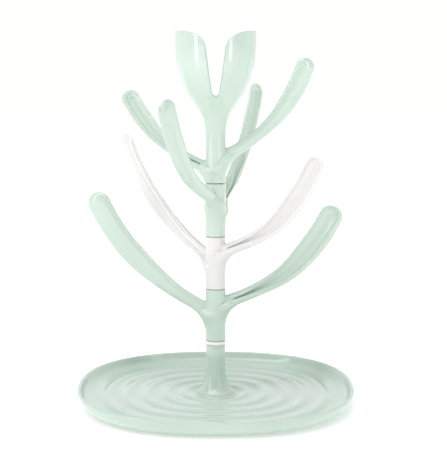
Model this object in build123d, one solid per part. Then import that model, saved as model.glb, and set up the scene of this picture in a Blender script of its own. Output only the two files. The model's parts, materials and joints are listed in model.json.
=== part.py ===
from build123d import *
import math
import os

# Bottle drying rack: an oval drip tray with a flared post, three turning branch
# pieces and a crown with a tulip cup. Millimetres, +Z up. The origin is under
# the post's axis, on the plane that the foot pads stand on.

# ---- driving dimensions -------------------------------------------------
# drip tray
RIM_A = 137.0          # rim half-width, along X
RIM_B = 124.0          # rim half-depth, along Y
OVAL_POWER = 2.35      # exponent of the superellipse outline
RIM_Z = 17.0           # height of the rim
FLOOR_Z = 7.0          # top of the tray's floor
PLATE_THICK = 2.8      # thickness of the floor
TRAY_FOOT_Z = 0.8      # underside of the tray's foot ring
FOOT_RING_INSET = 30.0  # rim outline to the inner edge of the foot ring
TRAY_WALL = [(17.5, TRAY_FOOT_Z), (11.0, 3.4), (4.6, 8.2), (1.2, 13.0), (0.0, RIM_Z)]  # (inset, height)
TRAY_BASIN = [(20.0, FLOOR_Z), (13.0, 8.0), (6.6, 11.0), (3.6, 14.0), (2.6, RIM_Z + 0.5)]
RIPPLE_COUNT = 5       # concentric ripple rings in the floor
RIPPLE_FIRST = 22.0    # rim outline to the outermost ripple
RIPPLE_PITCH = 16.5
RIPPLE_WIDTH = 7.0
RIPPLE_HEIGHT = 0.8

# trunk, the same on every stacked piece
TRUNK_R = 10.1
SOCKET_R = 7.08        # bore that takes the spigot below it
SPIGOT_R = 7.0         # turning fit, 0.08 clear all round
SPIGOT_BORE_R = 4.4
SPIGOT_LENGTH = 18.0
SPIGOT_CHAMFER = 0.8
TRUNK_CAP = 3.0        # web that carries the spigot
JOINT_GAP = 0.3        # visible seam between two stacked pieces
BRANCH_PITCH = 52.3    # height of one stacked piece
EDGE_ROUND = 0.8       # rounded lower and upper edge of a trunk

# friction ring in each spigot
BAND_DEPTH = 1.1
BAND_HEIGHT = 2.4
BAND_DROP = 8.0        # top of the spigot to the top of the band

# base post
POST_R = 9.7
POST_TOP_Z = 57.8
POST_FLARE_Z = 33.0    # where the neck starts to flare
POST_FOOT_R = 21.0
POST_TOE_Z = 2.2       # height of the foot's upright toe
RING_R = 10.4          # pale ring at the lowest joint
RING_THICK = 3.4

# screw under the tray
SCREW_R = 4.0
SCREW_CLEAR = 0.3      # round the screw in the tray's hole
SCREW_CHAMFER = 0.8
SCREW_HEAD_R = 9.5
SCREW_TOP_Z = 32.0
SCREW_HEAD_THICK = 2.0
SCREW_SLOT_WIDTH = 1.6
SCREW_SLOT_DEPTH = 1.1
SEAL_R = 11.0
SEAL_THICK = 1.0

# foot pads
PAD_R = 4.4
PAD_THICK = 1.8
PAD_CHAMFER = 0.4
PAD_INSET = 23.8       # rim outline to a pad's centre
PAD_ANGLE = 42.0       # degrees from the X axis

# arms: centreline points (distance from the axis, height above the trunk's foot),
# half-width at the root and at the belly, and the stretch where it widens
TALL_ARM = dict(
    line=[(7, 29.5), (46, 53.7), (83, 87.5), (105, 118), (120, 146.5)],
    root=6.6, belly=12.6, widen=(0.10, 0.60), thick=4.3,
)
SHORT_ARM = dict(
    line=[(7, 37.0), (38.5, 50), (69.8, 68.5), (99.5, 102.5), (118.5, 136)],
    root=6.4, belly=12.6, widen=(0.15, 0.75), thick=4.3,
)
CROWN_TALL_ARM = dict(
    line=[(7, 25), (35.2, 41.7), (60, 64.5), (78.5, 93), (89.5, 120.5)],
    root=5.8, belly=9.8, widen=(0.25, 0.80), thick=3.6,
)
CROWN_SHORT_ARM = dict(
    line=[(7, 14.5), (30, 25.5), (57, 46.5), (76, 71), (85.5, 88.5)],
    root=5.5, belly=9.0, widen=(0.20, 0.75), thick=3.4,
)
TIP_START = 0.93       # share of the arm's length where the tip starts to round
ARM_ROLL = 25.0        # the bowl of a leaf faces sideways and this far upwards
BOWL_START = 0.13      # share of the arm's length where the drip groove starts
BOWL_END = 0.965
SKIN_SHARES = [0.0, 0.13, 0.3, 0.47, 0.64, 0.8, TIP_START, 0.968, 0.99]
BOWL_SHARES = [BOWL_START, 0.3, 0.5, 0.7, 0.85, 0.93, BOWL_END]
BOWL_LIFT = 1.2        # bowl's axis above the face of the leaf
WALL = 2.4             # wall of a leaf behind its bowl
BOWL_RIM = 2.2         # rim beside the bowl
ROOT_WEB_HALF = 4.2    # half-thickness of the fillet web below a root

# tulip cup, heights above the crown's foot
CUP_PROFILE = [(10.1, 46), (11.2, 56.5), (14.2, 66), (21.5, 76.5), (31.0, 90.5), (36.6, 109), (38.6, 128)]
CUP_START = 40.0       # top of the crown's plain trunk
CUP_TOP_R = 38.9
CUP_TOP = 145.8
CUP_WALL = 2.6
CUP_FLOOR = 79.0       # lowest point of the cup's inside
SLOT_BOTTOM = 83.8
SLOT_R = 3.6           # round end of the slot between the petals
SLOT_HALF_TOP = 9.2    # half-width where the petals' corners begin to round
SLOT_CORNER = 130.0    # height where they begin
PETAL_FLAT = 28.5      # half-distance between the petals' flat tops

# rest angles of the stacked pieces, degrees about +Z
BRANCH_TURN = {"branch_lower": -2.0, "branch_middle": -37.0, "branch_upper": -112.0}
CROWN_TURN = 0.0

# heights of the joints
LOWER_Z = POST_TOP_Z + RING_THICK + JOINT_GAP
MIDDLE_Z = LOWER_Z + BRANCH_PITCH
UPPER_Z = MIDDLE_Z + BRANCH_PITCH
CROWN_Z = UPPER_Z + BRANCH_PITCH


# ---- outlines and small helpers -----------------------------------------
def oval_point(a, b, z, turn):
    """A point of the superellipse with half-axes a and b, at height z."""
    c, s = math.cos(turn), math.sin(turn)
    power = 2 / OVAL_POWER
    return (a * math.copysign(abs(c) ** power, c), b * math.copysign(abs(s) ** power, s), z)


def oval(inset, z, count=32):
    """The tray's outline, moved inwards by inset, as a face at height z."""
    turns = [2 * math.pi * (i + 0.5) / count for i in range(count)]
    points = [oval_point(RIM_A - inset, RIM_B - inset, z, t) for t in turns]
    return make_face(Spline(*points, periodic=True))


def prism(inset, low, high):
    return extrude(oval(inset, low), amount=high - low, dir=(0, 0, 1))


def disc(radius, low, high):
    return Pos(0, 0, low) * Cylinder(radius, high - low, align=(Align.CENTER, Align.CENTER, Align.MIN))


def turned(points):
    """A solid of revolution from (radius, height) corners."""
    face = make_face(Polyline(*[(r, 0, z) for r, z in points], close=True))
    return revolve(face, Axis.Z)


def smooth_step(x):
    x = min(1.0, max(0.0, x))
    return x * x * (3 - 2 * x)


# ---- tray and what is under it ------------------------------------------
def drip_tray():
    tray = loft([oval(inset, z) for inset, z in TRAY_WALL])
    tray -= loft([oval(inset, z) for inset, z in TRAY_BASIN])
    for i in range(RIPPLE_COUNT):
        inset = RIPPLE_FIRST + i * RIPPLE_PITCH
        ring = prism(inset, FLOOR_Z - 0.5, FLOOR_Z + RIPPLE_HEIGHT)
        tray += ring - prism(inset + RIPPLE_WIDTH, FLOOR_Z - 1, FLOOR_Z + 2 * RIPPLE_HEIGHT)
    tray -= prism(FOOT_RING_INSET, 0, FLOOR_Z - PLATE_THICK)
    tray -= disc(SCREW_R + SCREW_CLEAR, 0, FLOOR_Z + 1)
    for x, y in pad_places():
        tray -= Pos(x, y, 0) * disc(PAD_R, 0, PAD_THICK)
    return tray


def pad_places():
    turn = math.radians(PAD_ANGLE)
    x, y, _ = oval_point(RIM_A - PAD_INSET, RIM_B - PAD_INSET, 0, turn)
    return [(x, y), (-x, y), (-x, -y), (x, -y)]


def foot_pad(x, y):
    pad = Pos(x, y, 0) * disc(PAD_R, 0, PAD_THICK)
    return chamfer(pad.edges().group_by(Axis.Z)[0], PAD_CHAMFER)


def post_screw():
    seat = FLOOR_Z - PLATE_THICK - SEAL_THICK
    screw = disc(SCREW_HEAD_R, seat - SCREW_HEAD_THICK, seat) + disc(SCREW_R, seat, SCREW_TOP_Z)
    screw = chamfer(screw.edges().group_by(Axis.Z)[-1], SCREW_CHAMFER)
    slot = Pos(0, 0, seat - SCREW_HEAD_THICK + SCREW_SLOT_DEPTH / 2)
    return screw - slot * Box(2 * SCREW_HEAD_R, SCREW_SLOT_WIDTH, SCREW_SLOT_DEPTH)


def screw_seal():
    top = FLOOR_Z - PLATE_THICK
    return disc(SEAL_R, top - SEAL_THICK, top) - disc(SCREW_R + 0.1, 0, FLOOR_Z)


# ---- post and trunk ------------------------------------------------------
def spigot(shoulder):
    """The hollow spigot on a shoulder, with the groove of its friction ring."""
    top = shoulder + SPIGOT_LENGTH
    band = top - BAND_DROP
    return turned([
        (SPIGOT_BORE_R, shoulder - TRUNK_CAP),
        (SPIGOT_R, shoulder - TRUNK_CAP),
        (SPIGOT_R, band - BAND_HEIGHT),
        (SPIGOT_R - BAND_DEPTH, band - BAND_HEIGHT),
        (SPIGOT_R - BAND_DEPTH, band),
        (SPIGOT_R, band),
        (SPIGOT_R, top - SPIGOT_CHAMFER),
        (SPIGOT_R - SPIGOT_CHAMFER, top),
        (SPIGOT_BORE_R, top),
    ])


def friction_ring(shoulder):
    top = shoulder + SPIGOT_LENGTH - BAND_DROP
    return disc(SPIGOT_R, top - BAND_HEIGHT, top) - disc(SPIGOT_R - BAND_DEPTH, top - BAND_HEIGHT, top)


def base_post():
    flare = [
        Line((0, 0, FLOOR_Z), (POST_FOOT_R, 0, FLOOR_Z)),
        Line((POST_FOOT_R, 0, FLOOR_Z), (POST_FOOT_R, 0, FLOOR_Z + POST_TOE_Z)),
        Spline((POST_FOOT_R, 0, FLOOR_Z + POST_TOE_Z), (13.2, 0, 17.0), (POST_R, 0, POST_FLARE_Z),
               tangents=[(-1.0, 0, 0.18), (0, 0, 1)]),
        Line((POST_R, 0, POST_FLARE_Z), (POST_R, 0, POST_TOP_Z)),
        Line((POST_R, 0, POST_TOP_Z), (0, 0, POST_TOP_Z)),
        Line((0, 0, POST_TOP_Z), (0, 0, FLOOR_Z)),
    ]
    post = revolve(make_face(Wire(flare)), Axis.Z)
    post -= disc(SPIGOT_BORE_R, SCREW_TOP_Z + 2, POST_TOP_Z + 1)
    post -= disc(SCREW_R, FLOOR_Z - 1, SCREW_TOP_Z + 2)
    return post + spigot(POST_TOP_Z)


def joint_ring():
    ring = disc(RING_R, POST_TOP_Z, POST_TOP_Z + RING_THICK)
    ring = fillet(ring.edges(), EDGE_ROUND)
    return ring - disc(SPIGOT_R, POST_TOP_Z - 1, POST_TOP_Z + RING_THICK + 1)


def trunk_solid(height):
    trunk = disc(TRUNK_R, 0, height)
    return fillet(trunk.edges(), EDGE_ROUND)


# ---- arms -----------------------------------------------------------------
def arm_section(line, share, half_width, half_thick, shift, side):
    """An ellipse across the arm at a share of its length, moved to the bowl's side."""
    place = line @ share
    along = line % share
    up = Vector(0, 1, 0).cross(along) * -1
    roll = math.radians(ARM_ROLL)
    sideways = Vector(0, side, 0) * math.cos(roll) + up * math.sin(roll)
    across = sideways.cross(along)
    plane = Plane(origin=place + sideways * shift, x_dir=across, z_dir=along)
    return plane * Ellipse(half_width, half_thick)


def half_width_at(arm, share):
    start, end = arm["widen"]
    width = arm["root"] + (arm["belly"] - arm["root"]) * smooth_step((share - start) / (end - start))
    if share > TIP_START:
        width *= math.sqrt(max(0.0, 1 - ((share - TIP_START) / (1 - TIP_START)) ** 2))
    return width


def arm_solid(arm, side):
    """One paddle arm in the XZ plane, its bowl opening towards side * Y."""
    line = Spline(*[(r, 0, z) for r, z in arm["line"]])
    skin = []
    for share in SKIN_SHARES:
        width = half_width_at(arm, share)
        thick = arm["thick"] * min(1.0, 0.35 + width / arm["belly"])
        thick = max(thick, arm["root"] * 0.85 * (1 - share * 2.2))
        skin.append(arm_section(line, share, width, thick, 0, side))
    solid = loft(skin)
    hollow = []
    for share in BOWL_SHARES:
        depth = (share - BOWL_START) / 0.35
        width = (half_width_at(arm, share) - BOWL_RIM) * (0.28 + 0.72 * smooth_step(depth))
        reach = 2 * arm["thick"] - WALL + BOWL_LIFT
        reach *= 0.45 + 0.55 * smooth_step(depth)
        if share == BOWL_END:
            width *= 0.7
            reach *= 0.8
        hollow.append(arm_section(line, share, width, reach, arm["thick"] + BOWL_LIFT, side))
    return solid - loft(hollow)


def root_web(arm, height):
    """The fillet below an arm's root, down to a height on the trunk."""
    line = Spline(*[(r, 0, z) for r, z in arm["line"]])
    root = line @ 0.02
    outer = line @ 0.17
    under = Vector(outer.X + arm["root"] * 0.5, 0, outer.Z - arm["root"] * 0.72)
    start = Vector(TRUNK_R - 1.0, 0, height)
    bend = Vector(TRUNK_R + 1.6, 0, (height + under.Z) / 2 + 3.5)
    face = make_face([
        Line(Vector(5, 0, height), start),
        ThreePointArc(start, bend, under),
        Line(under, outer),
        Line(outer, root),
        Line(root, Vector(5, 0, height)),
    ])
    return extrude(face, amount=ROOT_WEB_HALF, dir=(0, 1, 0), both=True)


def branch():
    """Trunk and two arms in one moulding, its foot at height zero."""
    height = BRANCH_PITCH - JOINT_GAP
    piece = trunk_solid(height)
    for arm, side, turn, web in ((SHORT_ARM, -1, 0, 17.0), (TALL_ARM, -1, 180, 10.0)):
        piece += Rot(0, 0, turn) * (arm_solid(arm, side) + root_web(arm, web))
    piece -= disc(SOCKET_R, -1, height - TRUNK_CAP)
    piece -= disc(SPIGOT_BORE_R, 0, height + 1)
    return piece + spigot(height)


def crown():
    profile = [
        Line((0, 0, CUP_START), (TRUNK_R, 0, CUP_START)),
        Line((TRUNK_R, 0, CUP_START), (TRUNK_R, 0, CUP_PROFILE[0][1])),
        Spline(*[(r, 0, z) for r, z in CUP_PROFILE], (CUP_TOP_R, 0, CUP_TOP),
               tangents=[(0, 0, 1), (0, 0, 1)]),
        Line((CUP_TOP_R, 0, CUP_TOP), (0, 0, CUP_TOP)),
        Line((0, 0, CUP_TOP), (0, 0, CUP_START)),
    ]
    piece = revolve(make_face(Wire(profile)), Axis.Z) + trunk_solid(CUP_START + 2)
    for arm, turn, web in ((CROWN_TALL_ARM, 0, 10.0), (CROWN_SHORT_ARM, 180, 4.0)):
        piece += Rot(0, 0, turn) * (arm_solid(arm, 1) + root_web(arm, web))
    inner = [(r - CUP_WALL, 0, z + 1.5) for r, z in CUP_PROFILE[4:]]
    top = (CUP_TOP_R - CUP_WALL, 0, CUP_TOP + 1)
    inside = [
        Spline((0, 0, CUP_FLOOR), (17.0, 0, CUP_FLOOR + 5.0), *inner, top, tangents=[(1, 0, 0), (0, 0, 1)]),
        Line(top, (0, 0, CUP_TOP + 1)),
        Line((0, 0, CUP_TOP + 1), (0, 0, CUP_FLOOR)),
    ]
    piece -= revolve(make_face(Wire(inside)), Axis.Z)
    piece -= petal_slot()
    return piece - disc(SOCKET_R, -1, BRANCH_PITCH - TRUNK_CAP)


def petal_slot():
    """The gap between the two petals, cut right through along Y."""
    half = [
        (0, SLOT_BOTTOM),
        (SLOT_R, SLOT_BOTTOM + SLOT_R),
        (SLOT_HALF_TOP, SLOT_CORNER),
        (PETAL_FLAT, CUP_TOP),
    ]
    bottom, side, corner, top = [Vector(x, 0, z) for x, z in half]
    mirror = [Vector(-p.X, 0, p.Z) for p in (side, corner, top)]
    lean = math.atan2(corner.X - side.X, corner.Z - side.Z)
    rise = (math.sin(lean), 0, math.cos(lean))
    edges = [
        ThreePointArc(mirror[0], bottom, side),
        Line(side, corner),
        TangentArc(corner, top, tangent=rise),
        Line(top, top + Vector(0, 0, 2)),
        Line(top + Vector(0, 0, 2), mirror[2] + Vector(0, 0, 2)),
        Line(mirror[2] + Vector(0, 0, 2), mirror[2]),
        TangentArc(mirror[1], mirror[2], tangent=(-rise[0], 0, rise[2])),
        Line(mirror[1], mirror[0]),
    ]
    return extrude(make_face(Wire(edges)), amount=CUP_TOP_R + 5, dir=(0, 1, 0), both=True)


# ---- the pieces in place -------------------------------------------------
def pieces():
    branch_shape = branch()
    found = {
        "drip_tray": drip_tray(),
        "base_post": base_post(),
        "post_screw": post_screw(),
        "screw_seal": screw_seal(),
        "joint_ring": joint_ring(),
        "crown": Pos(0, 0, CROWN_Z) * Rot(0, 0, CROWN_TURN) * crown(),
    }
    for i, (x, y) in enumerate(pad_places()):
        found[f"foot_pad_{i + 1}"] = foot_pad(x, y)
    shoulders = [POST_TOP_Z]
    for name, foot in (("branch_lower", LOWER_Z), ("branch_middle", MIDDLE_Z), ("branch_upper", UPPER_Z)):
        found[name] = Pos(0, 0, foot) * Rot(0, 0, BRANCH_TURN[name]) * branch_shape
        shoulders.append(foot + BRANCH_PITCH - JOINT_GAP)
    for i, shoulder in enumerate(shoulders):
        found[f"friction_ring_{i + 1}"] = friction_ring(shoulder)
    return found


os.makedirs("parts", exist_ok=True)
for name, shape in pieces().items():
    solids = shape.solids()
    export_step(solids[0] if len(solids) == 1 else Compound(children=solids), f"parts/{name}.step")
    print(name, len(solids), round(shape.volume, 1))
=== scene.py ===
import json
import math

import bpy
import numpy as np
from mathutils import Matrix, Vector

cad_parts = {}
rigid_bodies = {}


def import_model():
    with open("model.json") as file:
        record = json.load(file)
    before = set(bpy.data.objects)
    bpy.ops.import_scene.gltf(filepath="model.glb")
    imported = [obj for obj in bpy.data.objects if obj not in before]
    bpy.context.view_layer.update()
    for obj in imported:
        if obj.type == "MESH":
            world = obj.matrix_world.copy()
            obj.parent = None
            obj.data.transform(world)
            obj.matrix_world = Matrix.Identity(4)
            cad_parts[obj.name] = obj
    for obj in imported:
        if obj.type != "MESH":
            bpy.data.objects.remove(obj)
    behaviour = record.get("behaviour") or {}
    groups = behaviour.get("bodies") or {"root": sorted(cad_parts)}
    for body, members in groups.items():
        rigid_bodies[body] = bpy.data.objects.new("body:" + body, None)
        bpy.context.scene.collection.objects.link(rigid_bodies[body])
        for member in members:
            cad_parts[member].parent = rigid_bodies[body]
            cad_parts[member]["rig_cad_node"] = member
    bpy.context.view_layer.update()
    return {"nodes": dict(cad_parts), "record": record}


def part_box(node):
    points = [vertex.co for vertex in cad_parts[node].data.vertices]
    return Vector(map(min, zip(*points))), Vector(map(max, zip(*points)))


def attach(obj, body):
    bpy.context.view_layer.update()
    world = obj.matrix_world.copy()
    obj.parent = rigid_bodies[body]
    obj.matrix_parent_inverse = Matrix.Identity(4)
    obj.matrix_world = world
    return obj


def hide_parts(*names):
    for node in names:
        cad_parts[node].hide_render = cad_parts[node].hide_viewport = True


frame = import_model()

# Bottle drying rack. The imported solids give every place; this script gives the
# pieces their moulded shapes, their plastics, and the studio around them.
# Lengths in the modelling functions are millimetres; meshes are built in metres.
MM = 0.001
TINY = 1e-9  # keeps divisions away from zero


# ---- places read from the frame ------------------------------------------
def node_box(name):
    low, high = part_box(name)
    return np.array(low) / MM, np.array(high) / MM


_, TRAY_HIGH = node_box("drip_tray")
POST_LOW, POST_HIGH = node_box("base_post")
RING_LOW, RING_HIGH = node_box("joint_ring")
BRANCHES = {"branch_lower": -2.0, "branch_middle": -37.0, "branch_upper": -112.0}  # degrees about the trunk
FOOT_Z = {name: node_box(name)[0][2] for name in [*BRANCHES, "crown"]}
PITCH = FOOT_Z["branch_middle"] - FOOT_Z["branch_lower"]

# ---- sizes of the mouldings ------------------------------------------------
TRUNK_R = 10.1
EDGE_ROUND = 0.9
SOCKET_R = 7.08
SPIGOT_R = 7.0
SPIGOT_BORE_R = 4.4
SPIGOT_LENGTH = 18.0
SPIGOT_ROUND = 0.7
SOCKET_ROUND = 0.3
TRUNK_CAP = 3.0
SEAM_GAP = 0.3
TRUNK_H = PITCH - SEAM_GAP

# An arm's line runs in its own plane from the trunk to the tip, as (radius, height) points.
# Shares of its length say where the leaf widens and where its bowl opens.
BOWL_ROLL = math.radians(14.0)
TIP_SHARE = 0.93  # where the line stops and the rounded tip begins
TIP_LENGTH = 0.92  # the tip's length over the leaf's half-width
LEAF_START, LEAF_RUN = 0.06, 0.34  # where the round root flattens into the leaf
ROOT_ROUND = 0.82  # the root's half-depth over its half-width
BOWL_START, BOWL_RUN = 0.10, 0.40  # where the drip groove opens into the bowl
GROOVE_WIDTH = 0.22  # the groove's width over the bowl's
GROOVE_DEPTH = 0.50  # the groove's depth over the bowl's
GROOVE_RISE, GROOVE_FADE = 0.09, 120  # the groove runs out towards the trunk
GROOVE_LEFT = 0.6  # the most of the groove's depth that may run out
BACK_SHIFT = 1.1  # how far the leaf's section sits from the line, on the bowl's side
BRIM_SHARE = 0.45  # the brim's height over the leaf's thickness
ROOT_BRIM = 2.0
BRIM_DROP = 0.15
RIM_WIDTH, GROOVE_RIM = 1.9, 0.3
LEAF_WALL = 2.1
FLANK = 0.26  # share of the half-width that slopes away beside the bowl, on the outer edge
FLANK_REACH = 1.6
FLANK_CURVE = 0.06
RIM_ROUND = 0.9
FILLET_ABOVE = 1.8
FILLET_BELOW = 15.0
FILLET_SHIFT, FILLET_RUN = 2.5, 7.0
BOWL_CLEAR, BOWL_CLEAR_BLEND = 1.2, 3.0  # how far the grooves stay out of the trunk
TALL_ARM = dict(
    line=[(7, 29.5), (46, 53.7), (83, 87.5), (105, 118), (120, 147.5)],
    root=6.6, belly=11.9, widen=(0.10, 0.60), thick=4.3,
)
SHORT_ARM = dict(
    line=[(7, 37.0), (38.5, 50), (69.8, 68.5), (99.5, 102), (118, 134)],
    root=6.4, belly=11.9, widen=(0.15, 0.75), thick=4.3,
)
CROWN_TALL_ARM = dict(
    line=[(7, 25), (35.2, 41.7), (60, 64.5), (78.5, 93), (89.5, 120.5)],
    root=5.8, belly=9.4, widen=(0.25, 0.80), thick=3.6,
)
CROWN_SHORT_ARM = dict(
    line=[(7, 14.5), (30, 25.5), (57, 46.5), (76, 71), (85.5, 88.5)],
    root=5.5, belly=8.7, widen=(0.20, 0.75), thick=3.4,
)
# The cup's outside and the edge of its slot, as (radius or half-width, height) points.
CUP_PROFILE = [
    (10.1, 44), (10.2, 50), (11.2, 56.5), (14.2, 66), (21.5, 76.5), (31.0, 90.5), (36.6, 109), (38.6, 128),
    (38.9, 145.8), (38.9, 149),
]
CUP_TOP = 145.8
CUP_FOOT = 46.0
CUP_WALL = 2.6
CUP_FLOOR = 79.0
CUP_FLOOR_BLEND = 12.0
CUP_WALL_BLEND = 0.5
LIP_BLEND = 1.4
CROWN_TRUNK_H = 52.0
SLOT_BOTTOM = 83.8
SLOT_R = 3.6
SLOT_TURN = 1.45  # radians of the arc at the slot's bottom
SLOT_EDGE = [
    (6.6, 106), (9.0, 125), (9.9, 131.8), (11.6, 136.2), (16.4, 140.3), (24, 143.6), (33, 145.4),
    (40, 146.2),
]


# ---- curves -----------------------------------------------------------------
def smooth_step(x):
    x = np.clip(x, 0.0, 1.0)
    return x * x * (3 - 2 * x)


def spline(points, steps):
    """Points along a centripetal Catmull-Rom curve through the given ones."""
    p = np.array(points, float)
    p = np.vstack([2 * p[0] - p[1], p, 2 * p[-1] - p[-2]])
    out = []
    for a, b, c, d in zip(p[:-3], p[1:-2], p[2:-1], p[3:]):
        knots = np.cumsum([0.0] + [math.sqrt(np.linalg.norm(q - r)) for q, r in ((b, a), (c, b), (d, c))])
        t = np.linspace(knots[1], knots[2], steps, endpoint=False)[:, None]
        k0, k1, k2, k3 = knots
        ab = (k1 - t) / (k1 - k0) * a + (t - k0) / (k1 - k0) * b
        bc = (k2 - t) / (k2 - k1) * b + (t - k1) / (k2 - k1) * c
        cd = (k3 - t) / (k3 - k2) * c + (t - k2) / (k3 - k2) * d
        abc = (k2 - t) / (k2 - k0) * ab + (t - k0) / (k2 - k0) * bc
        bcd = (k3 - t) / (k3 - k1) * bc + (t - k1) / (k3 - k1) * cd
        out.append((k2 - t) / (k2 - k1) * abc + (t - k1) / (k2 - k1) * bcd)
    return np.vstack(out + [p[-2:-1]])


def bezier(p0, p1, p2, steps):
    t = np.linspace(0, 1, steps)[:, None]
    return (1 - t) ** 2 * np.array(p0) + 2 * t * (1 - t) * np.array(p1) + t ** 2 * np.array(p2)


def soft_loop(corners, steps=6):
    """A closed outline whose corners, each (radius, height, rounding), are rounded by arcs."""
    out = []
    count = len(corners)
    for i, (r, z, rounding) in enumerate(corners):
        here = np.array([r, z], float)
        before = np.array(corners[i - 1][:2], float) - here
        after = np.array(corners[(i + 1) % count][:2], float) - here
        reach = min(rounding, 0.49 * np.linalg.norm(before), 0.49 * np.linalg.norm(after))
        start = here + before / np.linalg.norm(before) * reach
        end = here + after / np.linalg.norm(after) * reach
        out.extend(bezier(start, here, end, steps))
    return np.array(out)


class Track:
    """A plane curve, with a table of how far points are along it, beside it and past its ends."""

    def __init__(self, points, low, high, step=0.5):
        self.points = np.asarray(points, float)
        spans = np.diff(self.points, axis=0)
        self.lengths = np.linalg.norm(spans, axis=1)
        self.tangents = spans / self.lengths[:, None]
        self.starts = np.concatenate([[0.0], np.cumsum(self.lengths)])
        self.low, self.step = np.array(low, float), step
        self.counts = np.ceil((np.array(high) - low) / step).astype(int) + 1
        u, v = np.meshgrid(*(low[i] + step * np.arange(self.counts[i]) for i in (0, 1)), indexing="ij")
        rows = [self.exact(a, b) for a, b in zip(u, v)]
        self.table = np.stack([np.stack(part) for part in zip(*rows)], axis=-1)

    def exact(self, u, v):
        middles = (self.points[:-1] + self.points[1:]) / 2
        last = len(self.lengths) - 1
        q = np.stack([u, v], axis=1)
        near = np.argmin(((q[:, None, :] - middles[None]) ** 2).sum(axis=2), axis=1)
        offset = q - self.points[near]
        tangent = self.tangents[near]
        run = (offset * tangent).sum(axis=1)
        held = np.clip(run, 0, self.lengths[near])
        rest = offset - held[:, None] * tangent
        side = tangent[:, 0] * rest[:, 1] - tangent[:, 1] * rest[:, 0]
        spill = run - held
        ends = ((near == last) & (spill > 0)) | ((near == 0) & (spill < 0))
        distance = np.where(ends, np.abs(side), np.linalg.norm(rest, axis=1))
        return self.starts[near] + held, np.copysign(distance, side), np.where(ends, spill, 0.0)

    def measure(self, u, v):
        """For points (u, v): length along, offset to the left, and overshoot past either end."""
        q = (np.stack([u, v], axis=1) - self.low) / self.step
        q = np.clip(q, 0, self.counts - 1.001)
        cell = q.astype(int)
        f, g = (q - cell).T[:, :, None]
        i, j = cell.T
        t = self.table
        near = t[i, j] * (1 - f) + t[i + 1, j] * f
        beyond = t[i, j + 1] * (1 - f) + t[i + 1, j + 1] * f
        return (near * (1 - g) + beyond * g).T


# ---- solid fields: negative inside, in millimetres --------------------------
def join(a, b, k):
    h = np.clip(0.5 + 0.5 * (b - a) / k, 0, 1)
    return b * (1 - h) + a * h - k * h * (1 - h)


def common(a, b, k):
    return -join(-a, -b, k)


def without(a, b, k):
    return common(a, -b, k)


def rod(radius, r, z, low, high, rounding=0.0):
    """A cylinder about Z with rounded edges, from low to high."""
    dr = r - radius + rounding
    dz = np.abs(z - (low + high) / 2) - (high - low) / 2 + rounding
    outside = np.hypot(np.maximum(dr, 0), np.maximum(dz, 0))
    return outside + np.minimum(np.maximum(dr, dz), 0) - rounding


def ellipse(across, half_across, depth, half_depth, past, half_past):
    """Nearly the distance to an ellipsoidal section."""
    q = np.sqrt((across / half_across) ** 2 + (depth / half_depth) ** 2 + (past / half_past) ** 2) + TINY
    slope = np.sqrt((across / half_across ** 2) ** 2 + (depth / half_depth ** 2) ** 2
                    + (past / half_past ** 2) ** 2) + TINY
    return q * (q - 1) / slope


class Arm:
    """A paddle arm in the XZ plane: a leaf with a bowl that narrows to a drip groove."""

    def __init__(self, sizes, side, turn):
        points = spline(sizes["line"], 40)
        starts = np.concatenate([[0.0], np.cumsum(np.linalg.norm(np.diff(points, axis=0), axis=1))])
        self.full = starts[-1]
        self.track = Track(points[starts <= self.full * TIP_SHARE], *ARM_WINDOW)
        self.sizes = sizes
        self.side = side
        self.cos, self.sin = math.cos(turn), math.sin(turn)

    def field(self, p):
        """The leaf's distance, the height of each point over the arm, and the bowl's distance."""
        x = p[:, 0] * self.cos + p[:, 1] * self.sin
        y = (p[:, 1] * self.cos - p[:, 0] * self.sin) * self.side
        s = self.sizes
        along, over, past = self.track.measure(x, p[:, 2])
        share = along / self.full
        start, end = s["widen"]
        half = s["root"] + (s["belly"] - s["root"]) * smooth_step((share - start) / (end - start))
        leaf = smooth_step((share - LEAF_START) / LEAF_RUN)
        opening = smooth_step((share - BOWL_START) / BOWL_RUN)
        # across the leaf, and along the depth of its bowl
        across = over * math.cos(BOWL_ROLL) - y * math.sin(BOWL_ROLL)
        depth = y * math.cos(BOWL_ROLL) + over * math.sin(BOWL_ROLL)
        # the leaf, cut off at the brim, with a flank that slopes away from its outer edge
        root_half = s["root"] * ROOT_ROUND
        back = root_half + (s["thick"] + BACK_SHIFT - root_half) * leaf
        middle = BACK_SHIFT * leaf
        outer = ellipse(across, half, depth - middle, back, past, half * TIP_LENGTH)
        brim = root_half + ROOT_BRIM + (BRIM_SHARE * s["thick"] - root_half - ROOT_BRIM) * leaf
        flank = FLANK * half * opening
        slope = np.maximum(-across - (half - FLANK_REACH * flank), 0)
        outer = common(outer, depth - brim + FLANK_CURVE * slope ** 2, RIM_ROUND)
        # the bowl, which narrows to a groove towards the trunk
        rim = RIM_WIDTH + GROOVE_RIM * (1 - opening)
        bowl_half = (half - rim - flank / 2) * (GROOVE_WIDTH + (1 - GROOVE_WIDTH) * opening)
        deep = (back - middle + brim - LEAF_WALL) * (GROOVE_DEPTH + (1 - GROOVE_DEPTH) * opening)
        shallow = np.clip(np.maximum(GROOVE_RISE - share, 0) * GROOVE_FADE, 0, GROOVE_LEFT * deep)
        bowl = ellipse(across - flank / 2, bowl_half, depth - brim - BRIM_DROP, deep - shallow, past,
                       np.maximum(half * TIP_LENGTH - rim, 1))
        return outer, over, bowl


def trunk_field(p, height):
    r = np.hypot(p[:, 0], p[:, 1])
    return rod(TRUNK_R, r, p[:, 2], 0, height, EDGE_ROUND)


def socket_field(p, height):
    """The hole from below that the next spigot down fills."""
    r = np.hypot(p[:, 0], p[:, 1])
    return rod(SOCKET_R, r, p[:, 2], -20, height - TRUNK_CAP, SOCKET_ROUND)


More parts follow.
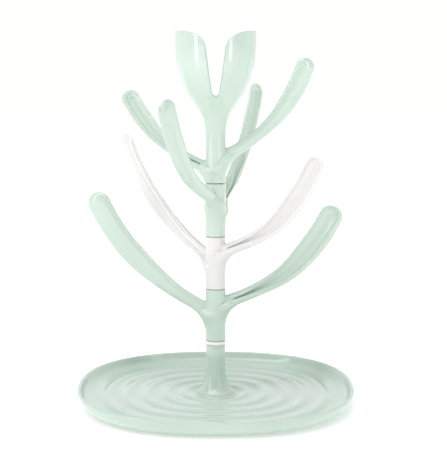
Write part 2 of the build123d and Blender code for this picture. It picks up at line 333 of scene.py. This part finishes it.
def grow_arms(body, p, arms):
    """Adds arms to a trunk, with a large fillet below each root and a crisp one above it."""
    bowls = []
    for arm in arms:
        leaf, over, bowl = arm.field(p)
        below = smooth_step((-over + FILLET_SHIFT) / FILLET_RUN)
        body = join(body, leaf, FILLET_ABOVE + FILLET_BELOW * below)
        bowls.append(bowl)
    clear = TRUNK_R - BOWL_CLEAR - np.hypot(p[:, 0], p[:, 1])
    for bowl in bowls:
        body = without(body, common(bowl, clear, BOWL_CLEAR_BLEND), RIM_ROUND)
    return body


def branch_field(p):
    body = grow_arms(trunk_field(p, TRUNK_H), p, BRANCH_ARMS)
    r = np.hypot(p[:, 0], p[:, 1])
    body = np.minimum(body, rod(SPIGOT_R, r, p[:, 2], TRUNK_H - 1, TRUNK_H + SPIGOT_LENGTH, SPIGOT_ROUND))
    body = np.maximum(body, -socket_field(p, TRUNK_H))
    return np.maximum(body, -rod(SPIGOT_BORE_R, r, p[:, 2], 0, TRUNK_H + 60, 0))


def crown_field(p):
    body = grow_arms(trunk_field(p, CROWN_TRUNK_H), p, CROWN_ARMS)
    z = p[:, 2]
    _, beside, _ = CUP_TRACK.measure(np.hypot(p[:, 0], p[:, 1]), z)
    skin = np.maximum(-beside, CUP_FOOT - z)
    hollow = common(skin + CUP_WALL, CUP_FLOOR - z, CUP_FLOOR_BLEND)
    cup = without(skin, hollow, CUP_WALL_BLEND)
    cup = common(cup, z - CUP_TOP, LIP_BLEND)
    _, beside_slot, _ = SLOT_TRACK.measure(np.abs(p[:, 0]), z)
    cup = common(cup, beside_slot, LIP_BLEND)
    body = np.minimum(body, cup)
    body = common(body, -z, EDGE_ROUND)
    return np.maximum(body, -socket_field(p, PITCH))


def slot_outline():
    """The right half of the slot, from its round bottom out to the petal's top corner."""
    turns = np.linspace(0, SLOT_TURN, 12)
    arc = [(SLOT_R * math.sin(t), SLOT_BOTTOM + SLOT_R * (1 - math.cos(t))) for t in turns]
    return np.vstack([[(-3.0, SLOT_BOTTOM)], arc, spline(SLOT_EDGE, 8), [(60.0, 148.0)]])


# Each track's table covers a window, from its low corner to its high one.
ARM_WINDOW = (-20.0, -10.0), (135.0, 160.0)
CUP_WINDOW = (-2.0, 30.0), (60.0, 160.0)
SLOT_WINDOW = (-1.0, 30.0), (60.0, 160.0)
BRANCH_ARMS = [Arm(SHORT_ARM, -1, 0.0), Arm(TALL_ARM, -1, math.pi)]
CROWN_ARMS = [Arm(CROWN_TALL_ARM, 1, 0.0), Arm(CROWN_SHORT_ARM, 1, math.pi)]
CUP_TRACK = Track(spline(CUP_PROFILE, 16), *CUP_WINDOW)
SLOT_TRACK = Track(slot_outline(), *SLOT_WINDOW)


# ---- surfaces from fields ----------------------------------------------------
CELL = 0.72
CROWN_CELL = 1.12 * CELL
BRANCH_SPAN = (-127.0, -14.0, -2.0), (127.0, 14.0, 150.0)
CROWN_SPAN = (-94.0, -41.0, -2.0), (98.0, 41.0, 148.0)
GRADIENT_STEP = 0.05
NORMAL_STEP = 0.3
LARGEST_PULL = 0.4
SLOPE_FLOOR = 0.05
CHUNK = 400000  # points measured at once


def gradient(field, p, step=GRADIENT_STEP):
    g = np.empty_like(p)
    for axis in range(3):
        shift = np.zeros(3)
        shift[axis] = step
        g[:, axis] = field(p + shift) - field(p - shift)
    return g / (2 * step)


def surface_net(field, low, high, cell):
    """Quads of the zero surface of a field inside a box, one vertex in each cell it crosses."""
    counts = np.ceil((np.array(high) - low) / cell).astype(int) + 1
    axes = [low[i] + cell * np.arange(counts[i]) for i in range(3)]
    grid = np.stack(np.meshgrid(*axes, indexing="ij"), axis=-1).reshape(-1, 3)
    values = np.concatenate([field(part) for part in np.array_split(grid, max(1, len(grid) // CHUNK))])
    values = values.reshape(counts)
    inside = values < 0
    cells = tuple(counts - 1)
    total = np.zeros(cells)
    place = np.zeros(cells + (3,))
    for axis in range(3):
        others = [a for a in range(3) if a != axis]
        for i in (0, 1):
            for j in (0, 1):
                first = [None] * 3
                second = [None] * 3
                first[axis], second[axis] = slice(0, -1), slice(1, None)
                for other, k in zip(others, (i, j)):
                    first[other] = second[other] = slice(k, counts[other] - 1 + k)
                a, b = values[tuple(first)], values[tuple(second)]
                crossed = (a < 0) != (b < 0)
                t = np.where(crossed, a / np.where(crossed, a - b, 1), 0)
                total += crossed
                place[..., axis] += np.where(crossed, t, 0)
                place[..., others[0]] += np.where(crossed, i, 0)
                place[..., others[1]] += np.where(crossed, j, 0)
    used = total > 0
    index = np.full(cells, -1)
    index[used] = np.arange(used.sum())
    corner = np.stack(np.nonzero(used), axis=1)
    vertices = np.array(low) + cell * (corner + place[used] / total[used][:, None])
    quads = []
    for axis in range(3):
        others = [a for a in range(3) if a != axis]
        span = [slice(1, counts[a] - 1) for a in range(3)]
        ahead = list(span)
        span[axis] = slice(0, counts[axis] - 1)
        ahead[axis] = slice(1, counts[axis])
        a, b = inside[tuple(span)], inside[tuple(ahead)]
        where = np.stack(np.nonzero(a != b), axis=1)
        flip = a[a != b]
        for a_ in others:
            where[:, a_] += 1
        ring = []
        for i, j in ((0, 0), (-1, 0), (-1, -1), (0, -1)):
            cell_at = where.copy()
            cell_at[:, others[0]] += i
            cell_at[:, others[1]] += j
            ring.append(index[tuple(cell_at.T)])
        ring = np.stack(ring, axis=1)
        if axis == 1:
            flip = ~flip
        ring[~flip] = ring[~flip][:, ::-1]
        quads.append(ring)
    return vertices, np.vstack(quads)


def relax(field, vertices, quads, rounds=4):
    """Evens the quads out along the surface and pulls every vertex onto it."""
    edges = np.vstack([quads[:, [k, (k + 1) % 4]] for k in range(4)])
    for _ in range(rounds):
        total = np.zeros_like(vertices)
        count = np.zeros(len(vertices))
        for a, b in ((0, 1), (1, 0)):
            np.add.at(total, edges[:, a], vertices[edges[:, b]])
            np.add.at(count, edges[:, a], 1)
        move = total / count[:, None] - vertices
        normal = gradient(field, vertices)
        normal /= np.linalg.norm(normal, axis=1)[:, None] + TINY
        vertices = vertices + 0.5 * (move - (move * normal).sum(axis=1)[:, None] * normal)
        distance = np.clip(field(vertices), -LARGEST_PULL, LARGEST_PULL)
        slope = gradient(field, vertices)
        vertices = vertices - (distance / ((slope ** 2).sum(axis=1) + SLOPE_FLOOR))[:, None] * slope
    return vertices


def moulding(field, span, cell):
    """A field's surface as vertices, quads and unit normals, which even out the narrow rims."""
    vertices, quads = surface_net(field, *span, cell)
    vertices = relax(field, vertices, quads)
    normals = gradient(field, vertices, NORMAL_STEP)
    return vertices, quads, normals / (np.linalg.norm(normals, axis=1)[:, None] + TINY)


def mesh_object(name, vertices, faces, normals=None):
    mesh = bpy.data.meshes.new(name)
    mesh.from_pydata((np.asarray(vertices) * MM).tolist(), [], np.asarray(faces).tolist())
    mesh.validate()
    mesh.polygons.foreach_set("use_smooth", [True] * len(mesh.polygons))
    mesh.update()
    if normals is not None:
        mesh.normals_split_custom_set_from_vertices(normals.tolist())
    obj = bpy.data.objects.new(name, mesh)
    bpy.context.scene.collection.objects.link(obj)
    return obj


def turn_and_lift(vertices, degrees, height):
    c, s = math.cos(math.radians(degrees)), math.sin(math.radians(degrees))
    x, y, z = vertices.T
    return np.stack([x * c - y * s, x * s + y * c, z + height], axis=1)


def lathe(name, loop, segments=144):
    """A ring-shaped piece whose section is a closed loop of (radius, height) points."""
    loop = np.asarray(loop)
    turns = np.linspace(0, 2 * math.pi, segments, endpoint=False)
    vertices = np.array([(r * math.cos(t), r * math.sin(t), z) for t in turns for r, z in loop])
    return mesh_object(name, vertices, closed_grid(segments, len(loop)))


def closed_grid(rows, columns):
    i, j = np.meshgrid(np.arange(rows), np.arange(columns), indexing="ij")
    below, right = (i + 1) % rows, (j + 1) % columns
    quads = [i * columns + j, below * columns + j, below * columns + right, i * columns + right]
    return np.stack([q.ravel() for q in quads], axis=1)


# ---- tray -----------------------------------------------------------------------
OVAL_POWER = 2.35
ROUND_SHARE, OVAL_RUN = 0.05, 0.45  # where the circles round the post turn into the oval
FLOOR_Z = 7.0
FLOOR_REACH = 0.855  # share of the way out where the floor turns up into the wall
UNDER_Z = 4.2
FOOT_RING_Z = 0.8
RIPPLE_HEIGHT = 1.5
RIPPLE_POWER = 1.4  # over 1 makes the crests narrower than the troughs
RIPPLES = 6.75
HOLE_R = 4.3
TRAY_SEGMENTS = 288
FIRST_TURN = 0.001  # keeps every point off the axes


def tray_section():
    """The tray's section as (share outwards, height): 1 is the rim's outline, 0 the centre hole."""
    rim = TRAY_HIGH[2]
    shares = np.linspace(0.0, FLOOR_REACH, 150)
    swell = 0.5 + 0.5 * np.cos(2 * math.pi * (shares * RIPPLES - 0.25))
    fade = smooth_step((shares - 0.10) / 0.12) * (1 - smooth_step((shares - 0.80) / 0.05))
    heights = FLOOR_Z + RIPPLE_HEIGHT * swell ** RIPPLE_POWER * fade
    floor = list(zip(shares, heights))
    inner = bezier((0.865, FLOOR_Z), (0.945, 7.3), (0.962, 12.2), 16)
    lip = bezier((0.974, rim - 0.9), (0.9775, rim), (0.989, rim), 8)
    edge = bezier((0.991, rim), (1.0, rim - 0.1), (1.0, rim - 1.6), 8)
    outer = bezier((0.998, rim - 3.4), (0.985, 4.6), (0.900, 1.5), 22)
    foot = bezier((0.885, 1.05), (0.875, FOOT_RING_Z), (0.862, FOOT_RING_Z), 6)
    under = [(0.80, FOOT_RING_Z), (0.785, 1.2), (0.780, 3.6), (0.768, UNDER_Z)]
    plate = [(s, UNDER_Z) for s in np.linspace(0.70, 0.0, 12)]
    return np.array([*floor, *inner, *lip, *edge, *outer, *foot, *under, *plate])


def build_tray():
    section = tray_section()
    a, b = TRAY_HIGH[0], TRAY_HIGH[1]
    turns = np.linspace(0, 2 * math.pi, TRAY_SEGMENTS, endpoint=False) + FIRST_TURN
    vertices = []
    for t in turns:
        for share, z in section:
            power = 2 / (2 + (OVAL_POWER - 2) * smooth_step((share - ROUND_SHARE) / OVAL_RUN))
            c, s = math.cos(t), math.sin(t)
            x = math.copysign(abs(c) ** power, c) * (HOLE_R + (a - HOLE_R) * share)
            y = math.copysign(abs(s) ** power, s) * (HOLE_R + (b - HOLE_R) * share)
            vertices.append((x, y, z))
    return mesh_object("tray_shell", vertices, closed_grid(len(turns), len(section)))


# ---- post and ring ----------------------------------------------------------------
FOOT_R = 21.0
TOE_H = 2.2
NECK_R = 9.7
NECK_Z = 33.0, 45.0
SCREW_BORE_R, SCREW_BORE_TOP = 4.0, 33.8


def build_post():
    foot, top = POST_LOW[2], RING_LOW[2]
    toe = foot + TOE_H
    spigot_top = POST_HIGH[2]
    loop = [
        (SCREW_BORE_R, foot), (FOOT_R - 0.1, foot), (FOOT_R, foot + 0.08),
        *bezier((FOOT_R, foot + 0.16), (18.9, foot + 0.35), (18.7, toe + 0.2), 8),
        *bezier((18.4, toe + 0.7), (NECK_R + 0.2, foot + 7.5), (NECK_R, NECK_Z[0]), 28),
        (NECK_R, NECK_Z[1]), (NECK_R, top - 0.9), (NECK_R - 0.25, top - 0.25), (NECK_R - 0.9, top),
        (SPIGOT_R + 0.1, top), (SPIGOT_R, top + 0.1), (SPIGOT_R, spigot_top - 0.8),
        (SPIGOT_R - 0.8, spigot_top), (SPIGOT_BORE_R, spigot_top),
        (SPIGOT_BORE_R, SCREW_BORE_TOP + 0.2), (SCREW_BORE_R, SCREW_BORE_TOP),
    ]
    return lathe("post_shell", loop)


def build_ring():
    low, high = RING_LOW[2], RING_HIGH[2]
    outer = RING_HIGH[0]
    loop = soft_loop([(SPIGOT_R + 0.02, low, 0.2), (outer, low, 1.0), (outer, high, 1.0),
                      (SPIGOT_R + 0.02, high, 0.2)])
    return lathe("ring_band", loop)


# ---- materials -----------------------------------------------------------------------
REFRACTION = 1.56
COAT_ROUGHNESS = 0.05
FLOW_SCALE, POLISH_SCALE, GRAIN_SCALE = 14.0, 60.0, 900.0  # noise cells to the metre
TONE_DARK, TONE_LIGHT = 0.965, 1.025
POLISH_LOW, POLISH_HIGH = 0.8, 1.25
GRAIN_HEIGHT = 0.0004


def plastic(name, colour, roughness, coat=0.35, grain=0.005):
    """Moulded plastic: faint tone flow, fine moulding texture, varying polish."""
    mat = bpy.data.materials.new(name)
    mat.use_nodes = True
    nodes, links = mat.node_tree.nodes, mat.node_tree.links
    shader = nodes["Principled BSDF"]
    shader.inputs["Coat Weight"].default_value = coat
    shader.inputs["Coat Roughness"].default_value = COAT_ROUGHNESS
    shader.inputs["IOR"].default_value = REFRACTION
    place = nodes.new("ShaderNodeTexCoord")
    flow = nodes.new("ShaderNodeTexNoise")
    flow.inputs["Scale"].default_value = FLOW_SCALE
    flow.inputs["Detail"].default_value = 3.0
    tone = nodes.new("ShaderNodeValToRGB")
    dark = [c * TONE_DARK for c in colour]
    light = [min(1.0, c * TONE_LIGHT) for c in colour]
    tone.color_ramp.elements[0].position = 0.30
    tone.color_ramp.elements[1].position = 0.70
    tone.color_ramp.elements[0].color = (*dark, 1)
    tone.color_ramp.elements[1].color = (*light, 1)
    polish = nodes.new("ShaderNodeTexNoise")
    polish.inputs["Scale"].default_value = POLISH_SCALE
    polish.inputs["Detail"].default_value = 4.0
    spread = nodes.new("ShaderNodeMapRange")
    spread.inputs["To Min"].default_value = roughness * POLISH_LOW
    spread.inputs["To Max"].default_value = roughness * POLISH_HIGH
    fine = nodes.new("ShaderNodeTexNoise")
    fine.inputs["Scale"].default_value = GRAIN_SCALE
    fine.inputs["Detail"].default_value = 2.0
    bump = nodes.new("ShaderNodeBump")
    bump.inputs["Strength"].default_value = grain
    bump.inputs["Distance"].default_value = GRAIN_HEIGHT
    for noise in (flow, polish, fine):
        links.new(place.outputs["Object"], noise.inputs["Vector"])
    links.new(flow.outputs["Fac"], tone.inputs["Fac"])
    links.new(tone.outputs["Color"], shader.inputs["Base Color"])
    links.new(polish.outputs["Fac"], spread.inputs["Value"])
    links.new(spread.outputs["Result"], shader.inputs["Roughness"])
    links.new(fine.outputs["Fac"], bump.inputs["Height"])
    links.new(bump.outputs["Normal"], shader.inputs["Normal"])
    return mat


def wear(obj, material):
    obj.data.materials.clear()
    obj.data.materials.append(material)


# ---- studio --------------------------------------------------------------------------
FLOOR_SIZE = 12.0
FLOOR_DROP = 0.0002
FLOOR_COLOUR = (0.93, 0.93, 0.925, 1)
STUDIO_LIGHT = (1.0, 1.0, 0.995, 1)
GLOW_REACH = 0.20, 1.10  # metres from the rack over which the floor's own glow grows
GLOW = 0.30, 0.78
FRONT_FADE = -0.7, 0.35  # along Y, in the direction looked at
CEILING_FADE = 0.24, 0.62  # along Z
WORLD_FRONT = 0.37
WORLD_CEILING = 0.60
WINDOWS = {"left_window": (-56.0, 4.3), "right_window": (43.0, 3.4)}  # azimuth in degrees, radiance
WINDOW_DISTANCE = 1.4
WINDOW_SIZE = (0.25, 1.45)
OVERHEAD_PLACE, OVERHEAD_SIZE, OVERHEAD_RADIANCE = (-0.5, -0.7, 3.0), (2.4, 2.4), 2.75
AIM = Vector((0, 0, 0.22))
CAMERA_DISTANCE = 1.04
CAMERA_HEIGHT = 0.323
CAMERA_PITCH = 8.4
CAMERA_LENS = 82.9
CAMERA_SHIFT = 0.017


def build_floor():
    """A pale floor that glows more with distance, so that it meets the white wall unseen."""
    bpy.ops.mesh.primitive_plane_add(size=FLOOR_SIZE, location=(0, 0, -FLOOR_DROP))
    floor = bpy.context.object
    floor.name = "studio_floor"
    mat = bpy.data.materials.new("studio_white")
    mat.use_nodes = True
    nodes, links = mat.node_tree.nodes, mat.node_tree.links
    shader = nodes["Principled BSDF"]
    shader.inputs["Base Color"].default_value = FLOOR_COLOUR
    shader.inputs["Roughness"].default_value = 0.9
    shader.inputs["Specular IOR Level"].default_value = 0.1
    shader.inputs["Emission Color"].default_value = STUDIO_LIGHT
    place = nodes.new("ShaderNodeTexCoord")
    reach = nodes.new("ShaderNodeVectorMath")
    reach.operation = "LENGTH"
    glow = nodes.new("ShaderNodeMapRange")
    glow.inputs["From Min"].default_value, glow.inputs["From Max"].default_value = GLOW_REACH
    glow.inputs["To Min"].default_value, glow.inputs["To Max"].default_value = GLOW
    links.new(place.outputs["Object"], reach.inputs[0])
    links.new(reach.outputs["Value"], glow.inputs["Value"])
    links.new(glow.outputs["Result"], shader.inputs["Emission Strength"])
    floor.data.materials.append(mat)


def build_world():
    """Soft light from all round, dimmer from the front and from above."""
    world = bpy.data.worlds.new("studio_world")
    bpy.context.scene.world = world
    world.use_nodes = True
    nodes, links = world.node_tree.nodes, world.node_tree.links
    place = nodes.new("ShaderNodeTexCoord")
    split = nodes.new("ShaderNodeSeparateXYZ")
    links.new(place.outputs["Generated"], split.inputs["Vector"])
    strength = nodes.new("ShaderNodeMath")
    strength.operation = "MULTIPLY"
    fades = (("Y", FRONT_FADE, (WORLD_FRONT, 1.0)), ("Z", CEILING_FADE, (1.0, WORLD_CEILING)))
    for i, (axis, reach, levels) in enumerate(fades):
        fade = nodes.new("ShaderNodeMapRange")
        fade.interpolation_type = "SMOOTHSTEP"
        fade.inputs["From Min"].default_value, fade.inputs["From Max"].default_value = reach
        fade.inputs["To Min"].default_value, fade.inputs["To Max"].default_value = levels
        links.new(split.outputs[axis], fade.inputs["Value"])
        links.new(fade.outputs["Result"], strength.inputs[i])
    links.new(strength.outputs["Value"], nodes["Background"].inputs["Strength"])
    nodes["Background"].inputs["Color"].default_value = STUDIO_LIGHT


def build_lights():
    """Two upright softboxes that stand on the floor either side of the camera, and one overhead."""
    for name, (azimuth, radiance) in WINDOWS.items():
        turn = math.radians(azimuth)
        x, y = WINDOW_DISTANCE * math.sin(turn), -WINDOW_DISTANCE * math.cos(turn)
        softbox(name, (x, y, WINDOW_SIZE[1] / 2 + 0.01), WINDOW_SIZE, radiance)
    softbox("overhead", OVERHEAD_PLACE, OVERHEAD_SIZE, OVERHEAD_RADIANCE)


def softbox(name, place, size, radiance):
    light = bpy.data.lights.new(name, "AREA")
    light.shape = "RECTANGLE"
    light.size, light.size_y = size
    light.energy = radiance * math.pi * size[0] * size[1]
    obj = bpy.data.objects.new(name, light)
    bpy.context.scene.collection.objects.link(obj)
    obj.location = place
    obj.rotation_euler = (AIM - Vector(place)).to_track_quat("-Z", "Y").to_euler()


def build_camera():
    camera = bpy.data.cameras.new("camera")
    camera.sensor_width = 36.0
    camera.sensor_fit = "AUTO"
    camera.lens = CAMERA_LENS
    camera.shift_x = CAMERA_SHIFT
    camera.clip_start = 0.01
    obj = bpy.data.objects.new("camera", camera)
    bpy.context.scene.collection.objects.link(obj)
    obj.location = (0, -CAMERA_DISTANCE, CAMERA_HEIGHT)
    obj.rotation_euler = (math.radians(90 - CAMERA_PITCH), 0, 0)
    bpy.context.scene.camera = obj


# ---- putting it together ---------------------------------------------------------------
MINT = (0.560, 0.682, 0.600)
WHITE = (0.765, 0.750, 0.742)
RING_WHITE = (0.93, 0.93, 0.91)
SCREW_GREEN = (0.55, 0.65, 0.59)
SEAL_GREY = (0.72, 0.77, 0.74)
MATERIALS = {
    "mint_plastic": plastic("mint_plastic", MINT, 0.075),
    "white_plastic": plastic("white_plastic", WHITE, 0.085),
    "ring_plastic": plastic("ring_plastic", RING_WHITE, 0.2),
    "screw_plastic": plastic("screw_plastic", SCREW_GREEN, 0.3, coat=0.0, grain=0.1),
    "soft_seal": plastic("soft_seal", SEAL_GREY, 0.55, coat=0.0, grain=0.15),
}
WHITE_BRANCH = "branch_middle"


def fit(obj, node, body, slot):
    """Puts a finished piece in the place of its CAD node, on the node's body."""
    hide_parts(node)
    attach(obj, body)
    wear(obj, MATERIALS[slot])


def build_base():
    fit(build_tray(), "drip_tray", "base", "mint_plastic")
    fit(build_post(), "base_post", "base", "mint_plastic")
    fit(build_ring(), "joint_ring", "base", "ring_plastic")


def build_branches():
    vertices, quads, normals = moulding(branch_field, BRANCH_SPAN, CELL)
    for name, turn in BRANCHES.items():
        placed = turn_and_lift(vertices, turn, FOOT_Z[name])
        obj = mesh_object(name + "_shell", placed, quads, turn_and_lift(normals, turn, 0.0))
        slot = "white_plastic" if name == WHITE_BRANCH else "mint_plastic"
        fit(obj, name, name.replace("branch_", ""), slot)


def build_crown():
    vertices, quads, normals = moulding(crown_field, CROWN_SPAN, CROWN_CELL)
    obj = mesh_object("crown_shell", turn_and_lift(vertices, 0, FOOT_Z["crown"]), quads, normals)
    fit(obj, "crown", "top", "mint_plastic")


build_camera()
build_floor()
build_world()
build_lights()
build_base()
build_branches()
build_crown()
for part in frame["record"]["subparts"]:
    wear(frame["nodes"][part["node"]], MATERIALS[part["material_slot"]])
bpy.context.scene.view_settings.view_transform = "Standard"
